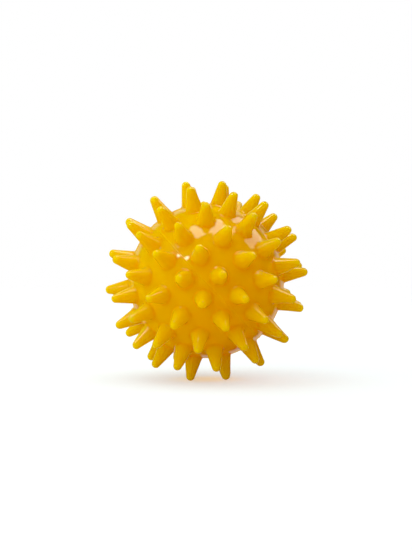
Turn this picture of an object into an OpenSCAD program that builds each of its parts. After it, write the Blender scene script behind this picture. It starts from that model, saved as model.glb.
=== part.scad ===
// Sensory ball: a soft hollow ball, moulded in two halves and set all over with blunt spikes,
// closed by a push-in air plug at one pole. Millimetres.
// The origin is the centre of the ball and +Z is up, as the ball lies on four spike tips.

/* [Ball] */
// Diameter across the tips of opposite spikes
ball_d = 80; // [76:0.5:88]
// Diameter of the round body between the spikes
body_d = 61; // [58:0.5:66]
// Thickness of the moulded wall
wall = 2.5; // [2:0.1:3.5]
// Lean of the ball's own axis from upright, in degrees
lean = 46.9; // [0:0.1:90]

/* [Spikes] */
// Radius of a spike's round tip
tip_r = 1.7; // [1.3:0.1:2]
// Radius of a spike's cone where it meets the body
base_r = 3.55; // [3:0.05:3.8]
// Radius of the hollow fillet round a spike's foot
foot_fillet = 0.9; // [0.5:0.1:1.1]
// Angle of the edge left between the fillet and the body
foot_edge = 25; // [15:1:40]
// Angle of the edge left between a spike's cone and its round tip or its fillet
cone_edge = 12; // [8:1:15]

/* [Rows of spikes] */
// Distance along the body from the parting line to the first row
first_row = 5.2; // [4.8:0.1:6]
// Distance along the body from one row to the next
row_pitch = 11.25; // [10:0.05:12]
// Distance along a row from spike to spike, before rounding to a whole count
spike_pitch = 10.7; // [10:0.1:14]
// Turn of each row of the upper half about the ball's axis, from the parting line to the pole
upper_turns = [1.1, 5.2, 16.1, 35.6]; // [-180:0.1:180]
// Turn of each row of the lower half about the ball's axis, from the parting line to the pole
lower_turns = [5.4, 4.2, 41.3, -6.2]; // [-180:0.1:180]

/* [Welded joint] */
// Depth of the lip that the upper half sinks into the lower half
lip_h = 2.2; // [1.5:0.1:4]
// Thickness of that lip
lip_t = 0.9; // [0.6:0.1:1]
// Step from the inside of the wall to the lip
lip_step = 0.3; // [0.2:0.05:0.4]
// Radius of the fine bead of flash along the parting line
flash_r = 0.3; // [0.2:0.05:0.5]
// Height of that bead above the body
flash_h = 0.15; // [0.1:0.05:0.2]
// Gap for the weld round the lip
weld_gap = 0.1; // [0.05:0.05:0.2]

/* [Valve] */
// Diameter of the hole through the wall at the pole
hole_d = 7; // [6.6:0.1:7.6]
// Thickness of the flat pad inside the wall, measured at the pole
pad_t = 1.2; // [1.1:0.1:2]
// Diameter of the pad, and of the bush's flange
pad_d = 12; // [10:0.5:13]
// Thickness of the bush's flange
flange_t = 1.2; // [0.8:0.1:2]
// Length of the bush's tube below its flange
tube_l = 7; // [4:0.5:12]
// Outside diameter of that tube
tube_d = 6; // [5.4:0.1:6.4]
// Diameter of the plug's shank
shank_d = 3.4; // [2.8:0.1:3.8]
// Length of the plug's shank
shank_l = 10; // [7:0.5:12]
// Diameter of the plug's head
head_d = 5.2; // [4.8:0.1:5.4]
// Thickness of the plug's head
head_t = 1.1; // [0.9:0.1:1.6]
// Height of the plug's head above the body
head_proud = 0.5; // [0.3:0.1:0.5]
// Height of the bevel round the plug's head
head_bevel = 0.3; // [0.2:0.1:0.6]
// Length of the taper at the shank's end
taper_l = 1.5; // [1:0.1:2.5]
// Diameter of the shank's end
end_d = 2; // [1:0.1:2.6]
// Gap round the bush in the wall
bush_gap = 0.05; // [0.05:0.01:0.1]
// Gap round the plug in the bush
plug_gap = 0.05; // [0.05:0.01:0.1]

/* [Hidden] */
$fn = 64;

moulded_yellow = "#E9AF0C";
plug_yellow = "#F2C84B";

ball_r = ball_d / 2;
body_r = body_d / 2;
inner_r = body_r - wall;

// A spike's outline, across and along its own axis from the ball's centre. The cone aims a
// little inside the tip's circle, and the fillet's circle cuts a little into cone and body, so
// that every arc crosses its neighbour at an angle.
tip_h = ball_r - tip_r;
base_h = sqrt(body_r ^ 2 - base_r ^ 2);
tip_reach = tip_r * cos(cone_edge);
rise = tip_h - base_h;
taper = acos(tip_reach / norm([base_r, rise])) - atan2(rise, base_r);
across = [cos(taper), sin(taper)];
along = [-sin(taper), cos(taper)];
cone_top = [0, tip_h] + tip_reach * across;
// The fillet's centre stands clear of the cone's side, at its distance from the ball's centre
fillet_far = sqrt(body_r ^ 2 + foot_fillet ^ 2 + 2 * body_r * foot_fillet * cos(foot_edge));
side_start = [base_r, base_h] + foot_fillet * cos(cone_edge) * across;
side_dot = side_start * along;
slide = -side_dot + sqrt(side_dot ^ 2 - side_start * side_start + fillet_far ^ 2);
fillet_mid = side_start + slide * along;
cone_foot = [base_r, base_h] + slide * along;
root_h = body_r - wall / 2;

// Rows between the parting line and the bare pole
pole_clear = hole_d / 2 + fillet_mid[0];
quarter = PI / 2 * body_r;
rows = floor((quarter - pole_clear - first_row) / row_pitch) + 1;

// The valve, as heights along the ball's axis
pad_h = inner_r - pad_t;
flange_h = pad_h - flange_t;
tube_h = flange_h - tube_l;
head_top = body_r + head_proud;
seat_h = head_top - head_t;
// The bush ends level with the edge of its hole
bush_top = sqrt(body_r ^ 2 - (hole_d / 2) ^ 2);
lip_r = inner_r + lip_step + lip_t;

function latitude(row) = (first_row + row * row_pitch) / body_r * 180 / PI;

function spikes_in(row) = round(2 * PI * body_r * cos(latitude(row)) / spike_pitch);

// Turns the ball's own axis, +Z, to the way that the ball lies
module lying() {
  rotate([0, lean, 0]) children();
}

// Half of a spike's outline, from its root inside the wall to its round tip
module spike_outline() {
  intersection() {
    union() {
      difference() {
        polygon([
          [0, root_h],
          [fillet_mid[0], root_h],
          fillet_mid,
          cone_foot,
          cone_top,
          [0, cone_top[1]]
        ]);
        translate(fillet_mid) circle(foot_fillet);
      }
      translate([0, tip_h]) circle(tip_r);
    }
    square([body_r, ball_r + tip_r]);
  }
}

// The rows of one half, from the parting line towards the pole at +Z
module spikes(turns) {
  for (row = [0 : rows - 1], i = [0 : spikes_in(row) - 1]) {
    turn = turns[row % len(turns)] + i * 360 / spikes_in(row);
    rotate([0, 0, turn]) rotate([90 - latitude(row), 0, 0]) rotate_extrude() spike_outline();
  }
}

// Half of the hollow wall above the parting line, with the flash along its edge
module half_wall() {
  difference() {
    union() {
      sphere(body_r);
      rotate_extrude() translate([body_r + flash_h - flash_r, 0]) circle(flash_r);
    }
    sphere(inner_r);
    translate([0, 0, -ball_r]) cylinder(r = ball_r, h = ball_r);
  }
}

module upper_half() {
  color(moulded_yellow) lying() difference() {
    union() {
      half_wall();
      spikes(upper_turns);
      translate([0, 0, pad_h]) cylinder(d = pad_d, h = body_r - wall / 2 - pad_h);
      difference() {
        translate([0, 0, -lip_h]) cylinder(r = lip_r, h = 2 * lip_h);
        translate([0, 0, -2 * lip_h]) cylinder(r = lip_r - lip_t, h = 4 * lip_h);
      }
    }
    cylinder(d = hole_d, h = ball_r);
  }
}

module lower_half() {
  color(moulded_yellow) lying() difference() {
    union() {
      mirror([0, 0, 1]) half_wall();
      mirror([0, 0, 1]) spikes(lower_turns);
    }
    translate([0, 0, -lip_h - weld_gap]) cylinder(r = lip_r + weld_gap, h = 2 * lip_h);
  }
}

module valve_bush() {
  bore_r = shank_d / 2 + plug_gap;
  color(plug_yellow) lying() rotate_extrude() polygon([
    [bore_r, tube_h],
    [tube_d / 2, tube_h],
    [tube_d / 2, flange_h],
    [pad_d / 2, flange_h],
    [pad_d / 2, pad_h],
    [hole_d / 2 - bush_gap, pad_h],
    [hole_d / 2 - bush_gap, bush_top],
    [head_d / 2 + plug_gap, bush_top],
    [head_d / 2 + plug_gap, seat_h],
    [bore_r, seat_h]
  ]);
}

module valve_plug() {
  shank_end = seat_h - shank_l;
  color(plug_yellow) lying() rotate_extrude() polygon([
    [0, shank_end],
    [end_d / 2, shank_end],
    [shank_d / 2, shank_end + taper_l],
    [shank_d / 2, seat_h],
    [head_d / 2, seat_h],
    [head_d / 2, head_top - head_bevel],
    [head_d / 2 - head_bevel, head_top],
    [0, head_top]
  ]);
}

upper_half();
lower_half();
valve_bush();
valve_plug();
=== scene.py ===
"""Sensory ball: a soft hollow ball, moulded in two halves and set all over with blunt spikes, with a
push-in air plug at one pole. The pieces here dress the solid model, in its own frame and in metres."""

import math

import bpy
import numpy as np
from bpy.props import FloatProperty, FloatVectorProperty, IntProperty, PointerProperty
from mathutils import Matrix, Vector
from mathutils.geometry import delaunay_2d_cdt


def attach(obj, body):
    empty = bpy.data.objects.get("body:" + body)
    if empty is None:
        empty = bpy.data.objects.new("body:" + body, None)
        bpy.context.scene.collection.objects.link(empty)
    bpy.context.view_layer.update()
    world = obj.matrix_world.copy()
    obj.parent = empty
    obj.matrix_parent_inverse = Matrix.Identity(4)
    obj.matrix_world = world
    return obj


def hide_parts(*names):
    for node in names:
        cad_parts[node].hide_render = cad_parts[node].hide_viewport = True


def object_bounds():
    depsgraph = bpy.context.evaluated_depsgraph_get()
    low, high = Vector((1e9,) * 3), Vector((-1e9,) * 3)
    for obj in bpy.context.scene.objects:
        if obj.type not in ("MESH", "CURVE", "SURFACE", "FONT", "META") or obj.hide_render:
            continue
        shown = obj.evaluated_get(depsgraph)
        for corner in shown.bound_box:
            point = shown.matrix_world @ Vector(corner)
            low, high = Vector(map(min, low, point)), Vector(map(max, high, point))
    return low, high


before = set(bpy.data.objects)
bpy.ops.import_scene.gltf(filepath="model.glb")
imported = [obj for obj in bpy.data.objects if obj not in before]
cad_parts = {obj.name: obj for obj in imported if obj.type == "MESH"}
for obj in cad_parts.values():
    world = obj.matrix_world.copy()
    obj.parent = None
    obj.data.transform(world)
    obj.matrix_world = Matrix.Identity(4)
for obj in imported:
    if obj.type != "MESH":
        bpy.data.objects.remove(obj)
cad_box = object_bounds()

bl_info = {
    "name": "Sensory Ball",
    "version": (1, 0, 0),
    "blender": (4, 5, 0),
    "location": "View3D > Sidebar > Sensory Ball",
    "description": "Builds a soft spiky sensory ball of two moulded halves with an air plug",
    "category": "Add Mesh",
}

MM = 0.001
TURN = 2 * math.pi

# How finely the surfaces are drawn: points round a spike, points along its fillet, side and tip,
# points round the ball, along its bead of flash, its inside and the rounded mouth of its hole, points
# round the valve, and the distance between the points of the bare skin
AROUND_SPIKE = 36
ALONG_FILLET, ALONG_SIDE, ALONG_TIP = 7, 8, 8
AROUND_BALL = 144
ALONG_BEAD, ALONG_INSIDE = 11, 58
ALONG_MOUTH = 5
AROUND_VALVE = 96
SKIN_SPACING = 1.15 * MM
# Rings of points that lead from the hole into the bare skin: the distance of each from the pole in radii
# of the hole, and how many times fewer points it has than a ring round the ball
HOLE_RINGS = ((1.12, 2), (1.3, 4), (1.6, 8))
# How far the points of the bare skin keep from a foot or the bead, and from the hole, in their spacing
CLEAR_OF_EDGE, CLEAR_OF_HOLE = 0.6, 2.2
# A triangle lies in a foot or in the hole where its middle is within this part of their radius
IN_FOOT, IN_HOLE = 0.993, 0.9995
# Points of the skin nearer than this, in radii of the body, would be joined
JOIN_DISTANCE = 1e-7
# Faces that meet at more than this angle show an edge
SHARP_ANGLE = math.radians(40)
# No spike is bent by more than this many times the usual bend
MOST_BEND = 2
# Radii of the corners of the bush's and the plug's outlines, in mm, in the order of their corners
BUSH_CORNERS = (0.2, 0.3, 0.4, 0.3, 0.2, 0, 0.2, 0.12, 0, 0.15)
PLUG_CORNERS = (0, 0.3, 0.8, 0.1, 0.15, 0.45, 0)

# Between these parts of a spike's height its colour turns from the skin's to the tip's, which is painted
# a little redder as painted shade that tones down the tips' glow, and the mottle shifts that by up to
# half of this share either way
TIP_ZONE = (0.1, 1.0)
MOTTLE = 0.25
# How deep light spreads in the skin at the valve and away from it, and the distances from the pole
# between which that changes
DEPTH_AT_VALVE, DEPTH = 0.5 * MM, 8 * MM
VALVE_ZONE = (4 * MM, 9 * MM)
# The colour of light that has passed through the skin, and the radius of the lamp that gives it
AMBER_GLOW = (1.0, 0.19, 0.0)
INNER_GLOW_R = 10 * MM

# The floor's rings of points: the innermost radius, the second one, the ratio from one to the next, how
# many there are from the second one on, and the points round each
FLOOR_HUB, FLOOR_SECOND, FLOOR_RATIO, FLOOR_RINGS = 4 * MM, 10 * MM, 1.25, 21
AROUND_FLOOR = 96
# Between these distances, in metres, the floor fades into the white of the room
FLOOR_FADE = (0.35, 0.8)
# The colour of the paper's light on the ball
PAPER_LIGHT = (1.2, 1.0, 0.6, 1.0)
# Painted warm glow: the colour painted on the paper that the camera sees under the middle of the ball,
# for the amber light that leaves it, where white is 1, and the distances between which it turns white
PAINTED_WARM_GLOW = (1.2, 0.92, 0.6, 1.0)
PAINTED_WARM_GLOW_ZONE = (2 * MM, 20 * MM)
# The painted pool of light on the paper under the ball, on its right side: its middle, how far it
# reaches, and how many times whiter the camera sees the paper at its middle
POOL_MIDDLE = (14 * MM, 0, 0)
POOL_REACH = 38 * MM
POOL_WHITE = 1.55

# The wall behind the ball, as its gloss shows it, by the cosine from straight behind: where the white
# wall begins and is full, and where it turns into the amber of the limb, a painted reflection of the
# spikes' amber
WALL_ZONE = (0.72, 0.86)
LIMB_ZONE = (0.9, 0.96)
# Panels that show only in the gloss, in metres: name, place, size, the point that it faces, and its roll
PANELS = (
    ("overhead_strip", (-0.01, -0.03, 1.0), (0.8, 0.42), (-0.01, -0.03, 0), math.radians(30)),
    ("upper_window", (0.93, 0.58, 1.0), (0.95, 1.25), (0.93, 0.58, 0), 0),
    ("left_strip", (-1.0, -0.7, 0.9), (1.2, 0.1), (0, 0, 0), 0),
)
# Height of the picture, and how far the ball's centre is right of its centre and below it, in pixels
PICTURE_HEIGHT = 549
BALL_RIGHT, BALL_BELOW = 0.6, 6.4
# Width of the camera's sensor, in mm
SENSOR = 36
# The soft light of the room: how narrow its lobes are, where each comes from, and its colour there
LOBE_POWER = 3.0
ROOM_LIGHT = (
    ((0, -1, 0.1), (0.55, 0.45, 0.6)),  # the viewer's side
    ((-0.6, 1, 0.1), (0.85, 0.8, 1.0)),  # behind, to the left
    ((0, 0, 1), (1.25, 1.6, 1.5)),  # overhead
    ((-1, -0.7, 0.2), (1.05, 1.55, 1.3)),  # left, on the viewer's side
    ((-1, 1, 0.2), (0.25, 0.9, 0.9)),  # left, further back
    ((-1, 0, 1), (0.4, 0.3, 0.45)),  # upper left
    ((1, 0, 1), (0.45, 0.35, 0.35)),  # upper right
)


def linear(hex_colour):
    """A hex sRGB colour as linear red, green and blue with an alpha of 1."""
    srgb = np.array([int(hex_colour[i : i + 2], 16) for i in (1, 3, 5)]) / 255
    flat = np.where(srgb <= 0.04045, srgb / 12.92, ((srgb + 0.055) / 1.055) ** 2.4)
    return (*flat.tolist(), 1.0)


class BallSizes(bpy.types.PropertyGroup):
    """Sizes of the moulded halves."""

    ball_d: FloatProperty(
        name="Ball",
        description="Diameter across the tips of opposite spikes",
        default=80 * MM,
        unit="LENGTH",
    )
    body_d: FloatProperty(
        name="Body",
        description="Diameter of the round body between the spikes",
        default=61 * MM,
        unit="LENGTH",
    )
    wall: FloatProperty(
        name="Wall", description="Thickness of the moulded wall", default=2.5 * MM, unit="LENGTH"
    )
    lean: FloatProperty(
        name="Lean",
        description="Lean of the ball's own axis from upright",
        default=math.radians(46.9),
        subtype="ANGLE",
    )
    tip_r: FloatProperty(
        name="Tip", description="Radius of a spike's round tip", default=1.7 * MM, unit="LENGTH"
    )
    base_r: FloatProperty(
        name="Base",
        description="Radius of a spike's cone where it meets the body",
        default=3.55 * MM,
        unit="LENGTH",
    )
    foot_fillet: FloatProperty(
        name="Fillet",
        description="Radius of the hollow round a spike's foot",
        default=1.0 * MM,
        unit="LENGTH",
    )
    first_row: FloatProperty(
        name="First row",
        description="Distance from the parting line to the first row",
        default=5.2 * MM,
        unit="LENGTH",
    )
    row_pitch: FloatProperty(
        name="Row pitch",
        description="Distance from one row to the next",
        default=11.25 * MM,
        unit="LENGTH",
    )
    spike_pitch: FloatProperty(
        name="Spike pitch",
        description="Distance along a row from spike to spike",
        default=10.7 * MM,
        unit="LENGTH",
    )
    upper_turns: FloatVectorProperty(
        name="Upper turns",
        description="Turn of each row of the upper half about the ball's axis, in degrees",
        default=(1.1, 5.2, 16.1, 35.6),
        size=4,
    )
    lower_turns: FloatVectorProperty(
        name="Lower turns",
        description="Turn of each row of the lower half about the ball's axis, in degrees",
        default=(5.4, 4.2, 41.3, -6.2),
        size=4,
    )
    bend: FloatProperty(
        name="Bend",
        description="How far a soft spike's tip is bent aside",
        default=0.3 * MM,
        unit="LENGTH",
    )
    bend_seed: IntProperty(name="Bend seed", description="Seed of the bends", default=7)
    flash_h: FloatProperty(
        name="Flash",
        description="Height of the bead of flash on the parting line",
        default=0.09 * MM,
        unit="LENGTH",
    )
    flash_w: FloatProperty(
        name="Flash width",
        description="Half the width of that bead at its foot",
        default=0.3 * MM,
        unit="LENGTH",
    )


class ValveSizes(bpy.types.PropertyGroup):
    """Sizes of the air valve at the pole."""

    hole_d: FloatProperty(
        name="Hole", description="Diameter of the hole in the wall", default=7 * MM, unit="LENGTH"
    )
    hole_round: FloatProperty(
        name="Hole edge", description="Radius of the hole's outer edge", default=0.2 * MM, unit="LENGTH"
    )
    pad_t: FloatProperty(
        name="Pad", description="Thickness of the pad inside", default=1.2 * MM, unit="LENGTH"
    )
    pad_d: FloatProperty(
        name="Pad width", description="Diameter of the pad and flange", default=12 * MM, unit="LENGTH"
    )
    flange_t: FloatProperty(
        name="Flange", description="Thickness of the flange", default=1.2 * MM, unit="LENGTH"
    )
    tube_l: FloatProperty(
        name="Tube", description="Length of the bush's tube", default=7 * MM, unit="LENGTH"
    )
    tube_d: FloatProperty(
        name="Tube width", description="Diameter of the tube", default=6 * MM, unit="LENGTH"
    )
    shank_d: FloatProperty(
        name="Shank", description="Diameter of the plug's shank", default=3.4 * MM, unit="LENGTH"
    )
    shank_l: FloatProperty(
        name="Shank length", description="Length of the shank", default=10 * MM, unit="LENGTH"
    )
    head_d: FloatProperty(
        name="Head", description="Diameter of the plug's head", default=5.2 * MM, unit="LENGTH"
    )
    head_t: FloatProperty(
        name="Head height", description="Thickness of the head", default=1.1 * MM, unit="LENGTH"
    )
    head_proud: FloatProperty(
        name="Head proud",
        description="Height of the head above the body",
        default=0.5 * MM,
        unit="LENGTH",
    )
    taper_l: FloatProperty(
        name="Taper", description="Length of the shank's taper", default=1.5 * MM, unit="LENGTH"
    )
    end_d: FloatProperty(
        name="Shank end", description="Diameter of the shank's end", default=2 * MM, unit="LENGTH"
    )
    gap: FloatProperty(
        name="Gap", description="Gap round the bush and the plug", default=0.05 * MM, unit="LENGTH"
    )


class BallFinish(bpy.types.PropertyGroup):
    """Colours of the ball, of the floor and of the wall behind."""

    skin: FloatVectorProperty(
        name="Skin",
        description="Colour of the moulded body",
        default=linear("#F2B600"),
        size=4,
        subtype="COLOR",
    )
    # Painted shade: the tips are painted a little redder than the skin, which tones down the glow of the
    # thin tips
    tips: FloatVectorProperty(
        name="Tips",
        description="Colour of the thin spike tips",
        default=linear("#F3AC00"),
        size=4,
        subtype="COLOR",
    )
    valve: FloatVectorProperty(
        name="Valve",
        description="Colour of the plug and its bush",
        default=linear("#F2BA1C"),
        size=4,
        subtype="COLOR",
    )
    floor: FloatVectorProperty(
        name="Floor",
        description="Colour of the floor",
        default=linear("#D0C8C7"),
        size=4,
        subtype="COLOR",
    )
    # Painted reflection: the amber that the room's gloss shows close behind the ball, for the spikes
    # there
    limb: FloatVectorProperty(
        name="Limb",
        description="Colour of the wall close behind the ball",
        default=linear("#E3B13C"),
        size=4,
        subtype="COLOR",
    )


class BallStage(bpy.types.PropertyGroup):
    """Camera and light."""

    azimuth: FloatProperty(
        name="Azimuth",
        description="Camera's turn about the ball",
        default=math.radians(-1.1),
        subtype="ANGLE",
    )
    elevation: FloatProperty(
        name="Elevation",
        description="Camera's height as an angle",
        default=math.radians(2.4),
        subtype="ANGLE",
    )
    distance: FloatProperty(
        name="Distance",
        description="Camera's distance from the ball's centre",
        default=752 * MM,
        unit="LENGTH",
    )
    view_angle: FloatProperty(
        name="View angle",
        description="Angle of the picture's long side",
        default=math.radians(16.4),
        subtype="ANGLE",
    )
    room: FloatProperty(name="Room", description="Strength of the soft light of the room", default=1.0)
    inner_glow: FloatProperty(
        name="Inner glow", description="Power of the light in the hollow", default=0.0063, unit="POWER"
    )
    rim: FloatProperty(
        name="Rim", description="White wall behind the ball, as its gloss shows it", default=0.6
    )
    strip: FloatProperty(name="Strip", description="Radiance of the strip overhead", default=4.0)
    window: FloatProperty(
        name="Window", description="Radiance of the panel at the upper right", default=2.2
    )
    side_strip: FloatProperty(
        name="Side strip", description="Radiance of the strip at the left", default=12.0
    )
    floor_glow: FloatProperty(name="Floor glow", description="Light of the paper itself", default=0.115)
    floor_white: FloatProperty(
        name="Floor white", description="White that the camera adds to it", default=0.265
    )


def lie(points, lean):
    """Points of the ball's own frame, pole up, turned by the lean about Y to how the ball lies."""
    c, s = math.cos(lean), math.sin(lean)
    return points @ np.array([[c, 0, s], [0, 1, 0], [-s, 0, c]]).T


def arc(centre, radius, start, end, count):
    """Points on a circle from one angle to another, both ends with them."""
    angle = np.linspace(start, end, count)
    return np.array(centre) + radius * np.stack([np.cos(angle), np.sin(angle)], axis=1)


def rounded(corners, radii, steps=4):
    """An outline with its corners rounded: at each corner an arc touches both sides at the distance
    radius times the cotangent of half the corner's angle, and a radius of 0 leaves it sharp."""
    corners = np.asarray(corners, float)
    pieces = []
    for before, corner, after, radius in zip(
        np.roll(corners, 1, axis=0), corners, np.roll(corners, -1, axis=0), radii
    ):
        if radius == 0:
            pieces.append(corner[None])
            continue
        a = (before - corner) / np.linalg.norm(before - corner)
        b = (after - corner) / np.linalg.norm(after - corner)
        half = math.acos(float(np.clip(a @ b, -1, 1))) / 2
        middle = (a + b) / np.linalg.norm(a + b)
        centre = corner + middle * radius / math.sin(half)
        start = corner + a * radius / math.tan(half) - centre
        end = corner + b * radius / math.tan(half) - centre
        first = math.atan2(start[1], start[0])
        sweep = (math.atan2(end[1], end[0]) - first + math.pi) % TURN - math.pi
        pieces.append(arc(centre, radius, first, first + sweep, steps + 1))
    return np.concatenate(pieces)


def revolve(outline, segments):
    """An outline of (radius, height) points carried round Z: point (i, j) is outline point j turned by
    i / segments of a full turn, from the viewer's side towards +X."""
    turn = TURN * np.arange(segments)[:, None] / segments
    r, z = outline[:, 0], outline[:, 1]
    heights = np.broadcast_to(z, (segments, len(z)))
    return np.stack([r * np.sin(turn), -r * np.cos(turn), heights], axis=-1)


def ring_faces(index, closed=False):
    """Four-sided faces of grids of point numbers (turn, along) that close round the turn, and along the
    outline too where it is a closed one."""
    if closed:
        index = np.concatenate([index, index[..., :1]], axis=-1)
    near, far = index, np.roll(index, -1, axis=-2)
    quads = np.stack([near[..., :-1], far[..., :-1], far[..., 1:], near[..., 1:]], axis=-1)
    return quads.reshape(-1, 4)


def fan_faces(ring, apex):
    """Three-sided faces from each side of a ring of point numbers to one apex."""
    sides = np.stack([ring, np.roll(ring, -1, axis=-1), np.broadcast_to(apex, ring.shape)], axis=-1)
    return sides.reshape(-1, 3)


def add_piece(name, points, faces, material, body, nodes, slot, **measures):
    """Makes a mesh object at the origin from points and faces, and gives it its body, nodes and finish.
    Each measure is kept as an attribute of the points, for the material to read."""
    mesh = bpy.data.meshes.new(name)
    mesh.from_pydata(points.tolist(), [], [face for group in faces for face in group.tolist()])
    mesh.shade_smooth()
    mesh.set_sharp_from_angle(angle=SHARP_ANGLE)
    for measure, values in measures.items():
        attribute = mesh.attributes.new(measure, "FLOAT", "POINT")
        attribute.data.foreach_set("value", values.astype(np.float32))
    mesh.materials.append(material)
    piece = bpy.data.objects.new(name, mesh)
    bpy.context.scene.collection.objects.link(piece)
    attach(piece, body)
    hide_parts(*nodes)
    return piece


def spike_axes(sizes, turns):
    """Directions of one half's spikes, pole up. Rows lie at even distances from the parting line, and
    each is an even ring of as many spikes as the pitch gives, begun at the row's own turn."""
    body_r = sizes.body_d / 2
    latitude = (sizes.first_row + sizes.row_pitch * np.arange(len(turns))) / body_r
    counts = np.round(TURN * body_r * np.cos(latitude) / sizes.spike_pitch).astype(int)
    row = np.repeat(np.arange(len(turns)), counts)
    step = np.arange(counts.sum()) - np.repeat(np.cumsum(counts) - counts, counts)
    turn = np.radians(np.array(turns))[row] + TURN * step / counts[row]
    flat = np.cos(latitude)[row]
    return np.stack([flat * np.sin(turn), -flat * np.cos(turn), np.sin(latitude)[row]], axis=1)


def spike_outline(sizes):
    """A spike's half outline as (across, along) points from its foot on the body to just below its apex.

    The side is the straight line from the body at base_r that touches the tip's circle. An arc that
    touches the body and that line hollows the foot, and the tip's circle closes the top."""
    body_r, tip_r, fillet = sizes.body_d / 2, sizes.tip_r, sizes.foot_fillet
    tip_h = sizes.ball_d / 2 - tip_r
    base_h = math.sqrt(body_r**2 - sizes.base_r**2)
    rise = tip_h - base_h
    taper = math.acos(tip_r / math.hypot(sizes.base_r, rise)) - math.atan2(rise, sizes.base_r)
    across = np.array([math.cos(taper), math.sin(taper)])
    along = np.array([-math.sin(taper), math.cos(taper)])
    reach = tip_h * math.sin(taper) + tip_r + fillet
    middle = reach * across + math.sqrt((body_r + fillet) ** 2 - reach**2) * along
    foot = arc(middle, fillet, TURN + math.atan2(-middle[1], -middle[0]), math.pi + taper, ALONG_FILLET)
    top = arc((0, tip_h), tip_r, taper, math.pi / 2, ALONG_TIP + 1)[:-1]
    side = np.linspace(foot[-1], top[0], ALONG_SIDE + 1)[1:-1]
    return np.concatenate([foot, side, top])


def spike_patches(sizes, axes, upper):
    """Every spike's surface: the outline turned about each axis, and bent aside by the square of its
    height, unless that would take it out of the solid model's box. Returns points (spike, round, along,
    xyz), the apexes, and the heights from 0 to 1."""
    outline = spike_outline(sizes)
    body_r, ball_r = sizes.body_d / 2, sizes.ball_d / 2
    east = np.cross([0, 0, 1], axes)
    east /= np.linalg.norm(east, axis=1, keepdims=True)
    north = np.cross(axes, east)
    turn = TURN * np.arange(AROUND_SPIKE) / AROUND_SPIKE
    spoke = np.cos(turn)[None, :, None] * east[:, None] + np.sin(turn)[None, :, None] * north[:, None]
    points = spoke[:, :, None] * outline[:, :1] + axes[:, None, None] * outline[:, 1:]
    apexes = axes * ball_r
    chance = np.random.default_rng(sizes.bend_seed + upper)
    draw = chance.normal(size=(len(axes), 2)).clip(-MOST_BEND, MOST_BEND) * sizes.bend
    aside = draw[:, :1] * east + draw[:, 1:] * north
    heights = ((outline[:, 1] - body_r) / (ball_r - body_r)).clip(0, 1)
    bent = points + heights[:, None] ** 2 * aside[:, None, None]
    lying = lie(bent * [1, 1, 1 if upper else -1], sizes.lean)
    low, high = np.array(cad_box)
    outside = ((lying < low) | (lying > high)).any(axis=(1, 2, 3))
    aside[outside] = 0
    bent[outside] = points[outside]
    return bent, apexes + aside, heights


def bare_skin(axes, foot_angle, edge, hole, step):
    """Directions that fill the skin between the spikes: a spiral of evenly spread points over the half,
    where point k lies at height 1 - (2k + 1) / n and turns by the golden angle, less those too near a
    spike's foot, the parting line or the hole. Rings of fewer and fewer points lead away from the
    hole."""
    count = int(4 * math.pi / step**2)
    k = np.arange(count // 2)
    z = 1 - (2 * k + 1) / count
    turn = k * math.pi * (3 - math.sqrt(5))
    flat = np.sqrt(1 - z**2)
    spread = np.stack([flat * np.cos(turn), flat * np.sin(turn), z], axis=1)
    clear = z > math.sin(edge + CLEAR_OF_EDGE * step)
    if hole:
        rings = [
            revolve(np.array([[math.sin(hole * far), math.cos(hole * far)]]), AROUND_BALL // fewer)[:, 0]
            for far, fewer in HOLE_RINGS
        ]
        clear &= z < math.cos(hole + CLEAR_OF_HOLE * step)
        spread = np.concatenate([spread[clear], *rings])
    else:
        spread = spread[clear]
    return spread[(spread @ axes.T).max(axis=1) < math.cos(foot_angle + CLEAR_OF_EDGE * step)]


def joined_skin(directions, edges, axes, foot_angle, hole):
    """Three-sided faces between points on the sphere, which keep the given edges: the loops of the
    spikes' feet, the bead and the hole. The sphere is laid flat from its far pole, where every circle
    stays a circle, and the flat points are joined by constrained Delaunay triangles. Triangles inside a
    foot or in the hole are left out."""
    flat = directions[:, :2] / (1 + directions[:, 2:])
    spots = [Vector(spot) for spot in flat.tolist()]
    _, _, found, sources, _, _ = delaunay_2d_cdt(spots, edges.tolist(), [], 0, JOIN_DISTANCE)
    faces = np.array(sources)[:, 0][np.array(found)]
    middle = directions[faces].mean(axis=1)
    middle /= np.linalg.norm(middle, axis=1, keepdims=True)
    keep = (middle @ axes.T).max(axis=1) < math.cos(foot_angle * IN_FOOT)
    if hole:
        keep &= middle[:, 2] < math.cos(hole * IN_HOLE)
    faces = faces[keep]
    a, b, c = (directions[faces[:, i]] for i in range(3))
    inward = np.einsum("ij,ij->i", np.cross(b - a, c - a), a + b + c) < 0
    faces[inward] = faces[inward][:, ::-1]
    return faces


def bead_outline(sizes):
    """The fine bead of flash over the parting line, as (radius, height) points from its upper foot to its
    lower one. At b from 1 to -1 it is b times flash_w along the body from the line, and flash_h times
    the square root of 1 - b * b high."""
    body_r = sizes.body_d / 2
    b = np.linspace(1, -1, ALONG_BEAD)
    angle = b * sizes.flash_w / body_r
    reach = body_r + sizes.flash_h * np.sqrt(1 - b**2)
    return np.stack([reach * np.cos(angle), reach * np.sin(angle)], axis=1)


def inside_outline(sizes, valve):
    """The inside of the hollow wall as (radius, height) points: from just off the lower pole along the
    inner sphere to the flat pad, in over the pad, and up the hole to its rounded outer edge."""
    body_r = sizes.body_d / 2
    inner_r = body_r - sizes.wall
    hole_r, soft = valve.hole_d / 2, valve.hole_round
    pad_h = inner_r - valve.pad_t
    brim = math.sqrt(body_r**2 - (hole_r + soft) ** 2)
    sphere = arc((0, 0), inner_r, -math.pi / 2, math.acos(valve.pad_d / 2 / inner_r), ALONG_INSIDE)[1:]
    pad = [(valve.pad_d / 2, pad_h), (hole_r, pad_h)]
    mouth = arc((hole_r + soft, brim - soft), soft, math.pi, math.pi / 2, ALONG_MOUTH)
    return np.concatenate([sphere, pad, mouth])


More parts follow.
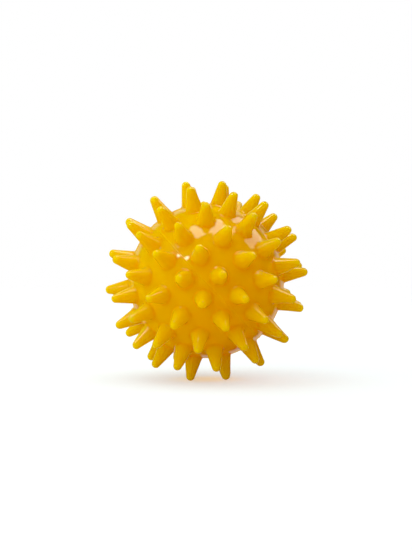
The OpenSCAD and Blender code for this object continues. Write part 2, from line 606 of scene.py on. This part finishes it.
def half_skin(sizes, turns, upper, hole, rings, rings_at, first):
    """The outside of one half: its spikes, and the bare skin that joins their feet to the given rings of
    points. It is worked out pole up, and the lower half is then mirrored, with its faces turned back
    outwards. Returns the points, numbered from first on, the faces, and the points' heights on a
    spike."""
    body_r = sizes.body_d / 2
    mirror = np.array([1, 1, 1 if upper else -1])
    axes = spike_axes(sizes, turns)
    points, apexes, heights = spike_patches(sizes, axes, upper)
    foot = spike_outline(sizes)[0]
    foot_angle = math.atan2(foot[0], foot[1])
    filling = bare_skin(axes, foot_angle, sizes.flash_w / body_r, hole, SKIN_SPACING / body_r) * body_r

    # Numbers of the points in the order that they are kept
    spike_at = first + np.arange(points[..., 0].size).reshape(points.shape[:3])
    apex_at = spike_at[-1, -1, -1] + 1 + np.arange(len(axes))
    filling_at = apex_at[-1] + 1 + np.arange(len(filling))

    # The bare skin joins the loops of the feet, the rings and the filling, in that order
    joined_at = np.concatenate([spike_at[:, :, 0].ravel(), *rings_at, filling_at])
    joined = np.concatenate([points[:, :, 0].reshape(-1, 3), *(ring * mirror for ring in rings), filling])
    feet = np.arange(spike_at[:, :, 0].size).reshape(spike_at.shape[:2])
    borders = feet.size + np.arange(len(rings) * AROUND_BALL).reshape(-1, AROUND_BALL)
    edges = [
        np.stack([loops, np.roll(loops, -1, axis=1)], axis=-1).reshape(-1, 2) for loops in (feet, borders)
    ]
    directions = joined / np.linalg.norm(joined, axis=1, keepdims=True)
    skin = joined_at[joined_skin(directions, np.concatenate(edges), axes, foot_angle, hole)]

    faces = [ring_faces(spike_at), fan_faces(spike_at[:, :, -1], apex_at[:, None]), skin]
    if not upper:
        faces = [group[:, ::-1] for group in faces]
    everything = np.concatenate([points.reshape(-1, 3), apexes, filling]) * mirror
    on_spikes = np.broadcast_to(heights, points.shape[:3]).ravel()
    return everything, faces, np.concatenate([on_spikes, np.ones(len(axes)), np.zeros(len(filling))])


def build_skin(sizes, valve, material):
    """Both welded halves as one closed skin: the bead and the inside of the wall are outlines revolved
    about the ball's axis, and the outside of each half joins the bead's foot and the rim of the hole."""
    bead = revolve(bead_outline(sizes), AROUND_BALL)
    inside = revolve(inside_outline(sizes, valve), AROUND_BALL)
    pole = np.array([[0, 0, sizes.wall - sizes.body_d / 2]])
    bead_at = np.arange(bead[..., 0].size).reshape(bead.shape[:2])
    inside_at = bead_at.size + np.arange(inside[..., 0].size).reshape(inside.shape[:2])
    pole_at = bead_at.size + inside_at.size
    hole = math.asin((valve.hole_d / 2 + valve.hole_round) / (sizes.body_d / 2))

    upper_rings, upper_at = [bead[:, 0], inside[:, -1]], [bead_at[:, 0], inside_at[:, -1]]
    upper = half_skin(sizes, sizes.upper_turns, True, hole, upper_rings, upper_at, pole_at + 1)
    first_lower = pole_at + 1 + len(upper[0])
    lower = half_skin(sizes, sizes.lower_turns, False, 0, [bead[:, -1]], [bead_at[:, -1]], first_lower)

    points = [bead.reshape(-1, 3), inside.reshape(-1, 3), pole, upper[0], lower[0]]
    linings = [
        ring_faces(bead_at)[:, ::-1],
        ring_faces(inside_at)[:, ::-1],
        fan_faces(inside_at[:, 0], pole_at),
    ]
    heights = [np.zeros(pole_at + 1), upper[2], lower[2]]
    add_piece(
        "moulded_skin",
        lie(np.concatenate(points), sizes.lean),
        [*linings, *upper[1], *lower[1]],
        material,
        "ball",
        ["upper_half", "lower_half"],
        "moulded_skin",
        spike_height=np.concatenate(heights),
    )


def add_node(tree, kind, values=None, links=None, **settings):
    """Adds a node with its own settings, the values of its inputs and the links to them."""
    node = tree.nodes.new(kind)
    for key, value in settings.items():
        setattr(node, key, value)
    for key, value in (values or {}).items():
        node.inputs[key].default_value = value
    for key, socket in (links or {}).items():
        tree.links.new(socket, node.inputs[key])
    return node


def per_mm(size):
    """Scale of a texture on Object coordinates, in metres, whose features are that many mm apart."""
    return 1 / (size * MM)


def soft_pvc_skin(finish, pole):
    """Plasticised PVC, slush-moulded and glossy. Light enters it several millimetres deep, so the thin
    tips glow and the feet of the spikes are deeper amber. The tips are painted a little redder than the
    skin, as painted shade that keeps their glow from turning lemon. Round the valve at the pole light
    stays shallow, as it would be lost in the gap there. The mould leaves a smooth skin with a faint slow
    unevenness, which breaks the edges of the reflections a little."""
    material = bpy.data.materials.new("glossy_soft_pvc")
    material.use_nodes = True
    tree = material.node_tree
    tree.nodes.clear()
    place = add_node(tree, "ShaderNodeTexCoord").outputs["Object"]
    height = add_node(tree, "ShaderNodeAttribute", attribute_name="spike_height").outputs["Fac"]
    mottle = add_node(
        tree,
        "ShaderNodeTexNoise",
        {"Scale": per_mm(9), "Detail": 2.0, "Roughness": 0.5},
        {"Vector": place},
    )
    thin = add_node(
        tree,
        "ShaderNodeMapRange",
        {"From Min": TIP_ZONE[0], "From Max": TIP_ZONE[1], "To Min": 0.0, "To Max": 1.0},
        {"Value": height},
        interpolation_type="SMOOTHSTEP",
    )
    uneven = add_node(
        tree,
        "ShaderNodeMath",
        {1: MOTTLE, 2: -MOTTLE / 2},
        {0: mottle.outputs["Fac"]},
        operation="MULTIPLY_ADD",
    )
    tipward = add_node(
        tree,
        "ShaderNodeMath",
        {},
        {0: thin.outputs["Result"], 1: uneven.outputs["Value"]},
        operation="ADD",
        use_clamp=True,
    )
    # Painted shade up each spike: the skin's colour turns to the tips' redder one, which tones down their
    # glow; the mottle is random tone
    colour = add_node(
        tree,
        "ShaderNodeMix",
        {6: finish.skin, 7: finish.tips},
        {0: tipward.outputs["Value"]},
        data_type="RGBA",
    )
    slow = add_node(
        tree,
        "ShaderNodeTexNoise",
        {"Scale": per_mm(3.5), "Detail": 1.0, "Roughness": 0.4},
        {"Vector": place},
    )
    grain = add_node(
        tree,
        "ShaderNodeTexNoise",
        {"Scale": per_mm(0.5), "Detail": 2.0, "Roughness": 0.6},
        {"Vector": place},
    )
    gloss = add_node(
        tree,
        "ShaderNodeMapRange",
        {"From Min": 0.3, "From Max": 0.7, "To Min": 0.015, "To Max": 0.04},
        {"Value": grain.outputs["Fac"]},
    )
    wavy = add_node(
        tree,
        "ShaderNodeBump",
        {"Strength": 0.08, "Distance": 0.2 * MM},
        {"Height": slow.outputs["Fac"]},
    )
    bump = add_node(
        tree,
        "ShaderNodeBump",
        {"Strength": 0.04, "Distance": 0.05 * MM},
        {"Height": grain.outputs["Fac"], "Normal": wavy.outputs["Normal"]},
    )
    off_pole = add_node(tree, "ShaderNodeVectorMath", {1: pole}, {0: place}, operation="DISTANCE")
    depth = add_node(
        tree,
        "ShaderNodeMapRange",
        {"From Min": VALVE_ZONE[0], "From Max": VALVE_ZONE[1], "To Min": DEPTH_AT_VALVE, "To Max": DEPTH},
        {"Value": off_pole.outputs["Value"]},
        interpolation_type="SMOOTHSTEP",
    )
    shader = add_node(
        tree,
        "ShaderNodeBsdfPrincipled",
        {
            "IOR": 1.5,
            "Subsurface Weight": 1.0,
            "Subsurface Radius": (1.0, 1.0, 0.12),
        },
        {
            "Subsurface Scale": depth.outputs["Result"],
            "Base Color": colour.outputs[2],
            "Roughness": gloss.outputs["Result"],
            "Normal": bump.outputs["Normal"],
        },
        subsurface_method="RANDOM_WALK",
    )
    add_node(tree, "ShaderNodeOutputMaterial", {}, {"Surface": shader.outputs["BSDF"]})
    return material


def soft_pvc_valve(finish):
    """Softer PVC, injection moulded and satin, a little paler than the skin, with a fine grain."""
    material = bpy.data.materials.new("satin_soft_pvc")
    material.use_nodes = True
    tree = material.node_tree
    tree.nodes.clear()
    place = add_node(tree, "ShaderNodeTexCoord").outputs["Object"]
    grain = add_node(
        tree,
        "ShaderNodeTexNoise",
        {"Scale": per_mm(0.4), "Detail": 2.0, "Roughness": 0.6},
        {"Vector": place},
    )
    mottle = add_node(
        tree,
        "ShaderNodeTexNoise",
        {"Scale": per_mm(2.5), "Detail": 2.0, "Roughness": 0.5},
        {"Vector": place},
    )
    colour = add_node(
        tree,
        "ShaderNodeMix",
        {6: finish.valve, 7: finish.tips},
        {0: mottle.outputs["Fac"]},
        data_type="RGBA",
    )
    gloss = add_node(
        tree,
        "ShaderNodeMapRange",
        {"From Min": 0.3, "From Max": 0.7, "To Min": 0.36, "To Max": 0.5},
        {"Value": grain.outputs["Fac"]},
    )
    bump = add_node(
        tree,
        "ShaderNodeBump",
        {"Strength": 0.1, "Distance": 0.05 * MM},
        {"Height": grain.outputs["Fac"]},
    )
    shader = add_node(
        tree,
        "ShaderNodeBsdfPrincipled",
        {
            "IOR": 1.5,
            "Subsurface Weight": 0.6,
            "Subsurface Radius": (1.0, 0.6, 0.15),
            "Subsurface Scale": 1.5 * MM,
        },
        {
            "Base Color": colour.outputs[2],
            "Roughness": gloss.outputs["Result"],
            "Normal": bump.outputs["Normal"],
        },
        subsurface_method="RANDOM_WALK",
    )
    add_node(tree, "ShaderNodeOutputMaterial", {}, {"Surface": shader.outputs["BSDF"]})
    return material


def matt_paper(finish, glow, white):
    """Matt white studio paper. It sends a little warm light of its own up at the ball. The camera sees it
    as white as a well lit photograph does, with a painted warm glow under the ball for the amber light
    that leaves it, a painted pool of light on the ball's right, and fading into the room towards the
    floor's edge."""
    material = bpy.data.materials.new("matt_white_paper")
    material.use_nodes = True
    tree = material.node_tree
    tree.nodes.clear()
    place = add_node(tree, "ShaderNodeTexCoord").outputs["Object"]
    across = add_node(tree, "ShaderNodeVectorMath", {1: (1, 1, 0)}, {0: place}, operation="MULTIPLY")
    far = add_node(tree, "ShaderNodeVectorMath", {}, {0: across.outputs["Vector"]}, operation="LENGTH")
    fade = add_node(
        tree,
        "ShaderNodeMapRange",
        {"From Min": FLOOR_FADE[0], "From Max": FLOOR_FADE[1], "To Min": 1.0, "To Max": 0.0},
        {"Value": far.outputs["Value"]},
        interpolation_type="SMOOTHSTEP",
    )
    # Painted warm glow: the camera sees the paper amber under the middle of the ball
    under = add_node(
        tree,
        "ShaderNodeMapRange",
        {"From Min": PAINTED_WARM_GLOW_ZONE[0], "From Max": PAINTED_WARM_GLOW_ZONE[1], "To Min": 0.0, "To Max": 1.0},
        {"Value": far.outputs["Value"]},
        interpolation_type="SMOOTHSTEP",
    )
    warm = add_node(
        tree,
        "ShaderNodeMix",
        {6: PAINTED_WARM_GLOW, 7: (1, 1, 1, 1)},
        {0: under.outputs["Result"]},
        data_type="RGBA",
    )
    # Painted pool of light: the camera sees the paper whiter under the ball's right side
    off_pool = add_node(
        tree,
        "ShaderNodeVectorMath",
        {1: POOL_MIDDLE},
        {0: across.outputs["Vector"]},
        operation="DISTANCE",
    )
    pool = add_node(
        tree,
        "ShaderNodeMapRange",
        {"From Min": 0.0, "From Max": POOL_REACH, "To Min": POOL_WHITE * white, "To Max": white},
        {"Value": off_pool.outputs["Value"]},
        interpolation_type="SMOOTHSTEP",
    )
    path = add_node(tree, "ShaderNodeLightPath")
    shown = add_node(
        tree,
        "ShaderNodeMath",
        {2: glow},
        {0: path.outputs["Is Camera Ray"], 1: pool.outputs["Result"]},
        operation="MULTIPLY_ADD",
    )
    hue = add_node(
        tree,
        "ShaderNodeMix",
        {6: PAPER_LIGHT},
        {0: path.outputs["Is Camera Ray"], 7: warm.outputs[2]},
        data_type="RGBA",
    )
    shader = add_node(
        tree,
        "ShaderNodeBsdfPrincipled",
        {"Base Color": finish.floor, "Roughness": 0.9, "IOR": 1.3},
        {
            "Alpha": fade.outputs["Result"],
            "Emission Color": hue.outputs[2],
            "Emission Strength": shown.outputs["Value"],
        },
    )
    add_node(tree, "ShaderNodeOutputMaterial", {}, {"Surface": shader.outputs["BSDF"]})
    return material


def shared_material(name, make, finish):
    """A material that several pieces share, made once."""
    return bpy.data.materials.get(name) or make(finish)


class SENSORY_BALL_OT_skin(bpy.types.Operator):
    """Builds the two welded halves with their spikes as one skin"""

    bl_idname = "sensory_ball.skin"
    bl_label = "Moulded skin"

    def execute(self, context):
        scene = context.scene
        sizes = scene.ball_sizes
        pole = lie(np.array([[0, 0, sizes.body_d / 2]]), sizes.lean)[0]
        build_skin(sizes, scene.ball_valve, soft_pvc_skin(scene.ball_finish, pole))
        return {"FINISHED"}


class SENSORY_BALL_OT_bush(bpy.types.Operator):
    """Builds the flanged bush that is welded in the hole at the pole"""

    bl_idname = "sensory_ball.bush"
    bl_label = "Valve bush"

    def execute(self, context):
        scene = context.scene
        sizes, valve = scene.ball_sizes, scene.ball_valve
        body_r = sizes.body_d / 2
        pad_h = body_r - sizes.wall - valve.pad_t
        flange_h = pad_h - valve.flange_t
        tube_h = flange_h - valve.tube_l
        seat_h = body_r + valve.head_proud - valve.head_t
        top = math.sqrt(body_r**2 - (valve.hole_d / 2) ** 2)
        bore, tube, flange = valve.shank_d / 2 + valve.gap, valve.tube_d / 2, valve.pad_d / 2
        neck, mouth = valve.hole_d / 2 - valve.gap, valve.head_d / 2 + valve.gap
        outline = rounded(
            [
                (bore, tube_h),
                (tube, tube_h),
                (tube, flange_h),
                (flange, flange_h),
                (flange, pad_h),
                (neck, pad_h),
                (neck, top),
                (mouth, top),
                (mouth, seat_h),
                (bore, seat_h),
            ],
            np.array(BUSH_CORNERS) * MM,
        )
        points = revolve(outline, AROUND_VALVE)
        at = np.arange(points[..., 0].size).reshape(points.shape[:2])
        satin = shared_material("satin_soft_pvc", soft_pvc_valve, scene.ball_finish)
        bush = add_piece(
            "air_bush",
            lie(points.reshape(-1, 3), sizes.lean),
            [ring_faces(at, closed=True)],
            satin,
            "ball",
            ["valve_bush"],
            "valve",
        )
        # The light in the hollow passes by the bush, so that the skin round it is as amber as elsewhere
        bush.visible_shadow = False
        return {"FINISHED"}


class SENSORY_BALL_OT_plug(bpy.types.Operator):
    """Builds the push-in plug that closes the bush"""

    bl_idname = "sensory_ball.plug"
    bl_label = "Valve plug"

    def execute(self, context):
        scene = context.scene
        sizes, valve = scene.ball_sizes, scene.ball_valve
        top = sizes.body_d / 2 + valve.head_proud
        seat_h = top - valve.head_t
        end_h = seat_h - valve.shank_l
        shank, head, end = valve.shank_d / 2, valve.head_d / 2, valve.end_d / 2
        corners = [
            (0, end_h),
            (end, end_h),
            (shank, end_h + valve.taper_l),
            (shank, seat_h),
            (head, seat_h),
            (head, top),
            (0, top),
        ]
        outline = rounded(corners, np.array(PLUG_CORNERS) * MM, steps=6)[1:-1]
        points = revolve(outline, AROUND_VALVE)
        at = np.arange(points[..., 0].size).reshape(points.shape[:2])
        ends = np.array([[0, 0, end_h], [0, 0, top]])
        faces = [
            ring_faces(at),
            fan_faces(at[:, 0], at.size)[:, ::-1],
            fan_faces(at[:, -1], at.size + 1),
        ]
        satin = shared_material("satin_soft_pvc", soft_pvc_valve, scene.ball_finish)
        add_piece(
            "air_plug",
            lie(np.concatenate([points.reshape(-1, 3), ends]), sizes.lean),
            faces,
            satin,
            "plug",
            ["valve_plug"],
            "valve",
        )
        return {"FINISHED"}


class SENSORY_BALL_OT_stage(bpy.types.Operator):
    """Lays the floor, hangs the lights and sets up the camera"""

    bl_idname = "sensory_ball.stage"
    bl_label = "Stage"

    def execute(self, context):
        scene = context.scene
        stage = scene.ball_stage
        self.add_floor(scene, stage)
        self.add_room(scene, stage)
        self.add_inner_glow(scene, stage)
        for panel, radiance in zip(PANELS, (stage.strip, stage.window, stage.side_strip)):
            self.add_panel(scene, *panel, radiance)
        self.add_camera(scene, stage)
        scene.view_settings.view_transform = "Standard"
        return {"FINISHED"}

    def add_floor(self, scene, stage):
        """A round floor at the ball's lowest point: rings of points whose radius grows by a fixed
        ratio."""
        radius = np.concatenate([[FLOOR_HUB], FLOOR_SECOND * FLOOR_RATIO ** np.arange(FLOOR_RINGS)])
        outline = np.stack([radius, np.full(len(radius), cad_box[0].z)], axis=1)
        points = revolve(outline, AROUND_FLOOR)
        at = np.arange(points[..., 0].size).reshape(points.shape[:2])
        mesh = bpy.data.meshes.new("floor")
        faces = [*ring_faces(at)[:, ::-1].tolist(), at[:, 0].tolist()]
        mesh.from_pydata(points.reshape(-1, 3).tolist(), [], faces)
        mesh.materials.append(matt_paper(scene.ball_finish, stage.floor_glow, stage.floor_white))
        floor = bpy.data.objects.new("floor", mesh)
        floor.visible_glossy = False
        scene.collection.objects.link(floor)

    def add_room(self, scene, stage):
        """A white room. Its light is a sum of soft lobes, each of them a power of the cosine from its
        middle. The gloss of the ball shows it dark, but for a ring of white wall behind the ball that
        turns to a painted amber reflection close behind it, as the spikes there are. The camera sees
        plain white."""
        world = bpy.data.worlds.new("white_room")
        world.use_nodes = True
        tree = world.node_tree
        tree.nodes.clear()
        direction = add_node(tree, "ShaderNodeTexCoord").outputs["Generated"]
        lit = None
        for middle, colour in ROOM_LIGHT:
            near = add_node(
                tree,
                "ShaderNodeVectorMath",
                {1: Vector(middle).normalized()},
                {0: direction},
                operation="DOT_PRODUCT",
            )
            front = add_node(
                tree, "ShaderNodeMath", {1: 0.0}, {0: near.outputs["Value"]}, operation="MAXIMUM"
            )
            lobe = add_node(
                tree, "ShaderNodeMath", {1: LOBE_POWER}, {0: front.outputs["Value"]}, operation="POWER"
            )
            links = {0: lobe.outputs["Value"]} | ({2: lit} if lit else {})
            total = add_node(
                tree,
                "ShaderNodeVectorMath",
                {1: Vector(colour) * stage.room},
                links,
                operation="MULTIPLY_ADD",
            )
            lit = total.outputs["Vector"]
        back = add_node(tree, "ShaderNodeSeparateXYZ", {}, {0: direction})
        wall = add_node(
            tree,
            "ShaderNodeMapRange",
            {"From Min": WALL_ZONE[0], "From Max": WALL_ZONE[1], "To Min": 0.0, "To Max": stage.rim},
            {"Value": back.outputs["Y"]},
            interpolation_type="SMOOTHSTEP",
        )
        # Painted reflection: the gloss sees amber close behind the ball
        close = add_node(
            tree,
            "ShaderNodeMapRange",
            {"From Min": LIMB_ZONE[0], "From Max": LIMB_ZONE[1], "To Min": 0.0, "To Max": 1.0},
            {"Value": back.outputs["Y"]},
            interpolation_type="SMOOTHSTEP",
        )
        ring = add_node(
            tree,
            "ShaderNodeMix",
            {7: scene.ball_finish.limb},
            {0: close.outputs["Result"], 6: wall.outputs["Result"]},
            data_type="RGBA",
        )
        path = add_node(tree, "ShaderNodeLightPath")
        seen = add_node(
            tree,
            "ShaderNodeMix",
            {},
            {0: path.outputs["Is Glossy Ray"], 6: lit, 7: ring.outputs[2]},
            data_type="RGBA",
        )
        shown = add_node(
            tree,
            "ShaderNodeMix",
            {7: (1, 1, 1, 1)},
            {0: path.outputs["Is Camera Ray"], 6: seen.outputs[2]},
            data_type="RGBA",
        )
        light = add_node(
            tree, "ShaderNodeBackground", {"Strength": 1.0}, {"Color": shown.outputs[2]}
        )
        add_node(tree, "ShaderNodeOutputWorld", {}, {"Surface": light.outputs[0]})
        scene.world = world

    def add_inner_glow(self, scene, stage):
        """A small lamp in the hollow of the ball. It stands for the light that soaks through the wall on
        all sides and comes out again amber, which is more than a render follows."""
        light = bpy.data.lights.new("inner_glow", "POINT")
        light.color = AMBER_GLOW
        light.energy = stage.inner_glow
        light.shadow_soft_size = INNER_GLOW_R
        scene.collection.objects.link(bpy.data.objects.new("inner_glow", light))

    def add_panel(self, scene, name, place, size, target, roll, radiance):
        """A rectangular panel that faces a point, and that shows only in the gloss of the ball. Its power
        is pi times its area and radiance."""
        light = bpy.data.lights.new(name, "AREA")
        light.shape = "RECTANGLE"
        light.size, light.size_y = size
        light.energy = math.pi * size[0] * size[1] * radiance
        lamp = bpy.data.objects.new(name, light)
        lamp.location = place
        lamp.rotation_euler = (Vector(target) - Vector(place)).to_track_quat("-Z", "Y").to_euler()
        lamp.rotation_euler.z += roll
        lamp.visible_diffuse = False
        scene.collection.objects.link(lamp)

    def add_camera(self, scene, stage):
        """The camera looks at the ball from in front and a little above, aimed so that the ball's centre
        lies where the photograph has it."""
        lens = bpy.data.cameras.new("camera")
        lens.sensor_width = SENSOR
        lens.lens = SENSOR / 2 / math.tan(stage.view_angle / 2)
        camera = bpy.data.objects.new("camera", lens)
        a, e = stage.azimuth, stage.elevation
        back = Vector((math.sin(a) * math.cos(e), -math.cos(a) * math.cos(e), math.sin(e)))
        facing = (-back).to_track_quat("-Z", "Y")
        pixel = 2 * math.tan(stage.view_angle / 2) * stage.distance / PICTURE_HEIGHT
        aside = facing @ Vector((-BALL_RIGHT * pixel, BALL_BELOW * pixel, 0))
        camera.location = back * stage.distance + aside
        camera.rotation_euler = facing.to_euler()
        scene.collection.objects.link(camera)
        scene.camera = camera


class SENSORY_BALL_PT_panel(bpy.types.Panel):
    """Lists the steps that build the ball, and its sizes"""

    bl_idname = "SENSORY_BALL_PT_panel"
    bl_label = "Sensory Ball"
    bl_space_type = "VIEW_3D"
    bl_region_type = "UI"
    bl_category = "Sensory Ball"

    def draw(self, context):
        for step in STEPS:
            self.layout.operator(step.bl_idname)
        for group in GROUPS:
            box = self.layout.box()
            for name in GROUPS[group].__annotations__:
                box.prop(getattr(context.scene, group), name)


GROUPS = {
    "ball_sizes": BallSizes,
    "ball_valve": ValveSizes,
    "ball_finish": BallFinish,
    "ball_stage": BallStage,
}
STEPS = (SENSORY_BALL_OT_skin, SENSORY_BALL_OT_bush, SENSORY_BALL_OT_plug, SENSORY_BALL_OT_stage)
CLASSES = (*GROUPS.values(), *STEPS, SENSORY_BALL_PT_panel)


def register():
    for cls in CLASSES:
        bpy.utils.register_class(cls)
    for name, group in GROUPS.items():
        setattr(bpy.types.Scene, name, PointerProperty(type=group))


def unregister():
    for name in GROUPS:
        delattr(bpy.types.Scene, name)
    for cls in reversed(CLASSES):
        bpy.utils.unregister_class(cls)


def main():
    """Builds every piece and the stage."""
    register()
    bpy.ops.sensory_ball.skin()
    bpy.ops.sensory_ball.bush()
    bpy.ops.sensory_ball.plug()
    bpy.ops.sensory_ball.stage()


if __name__ == "__main__":
    main()
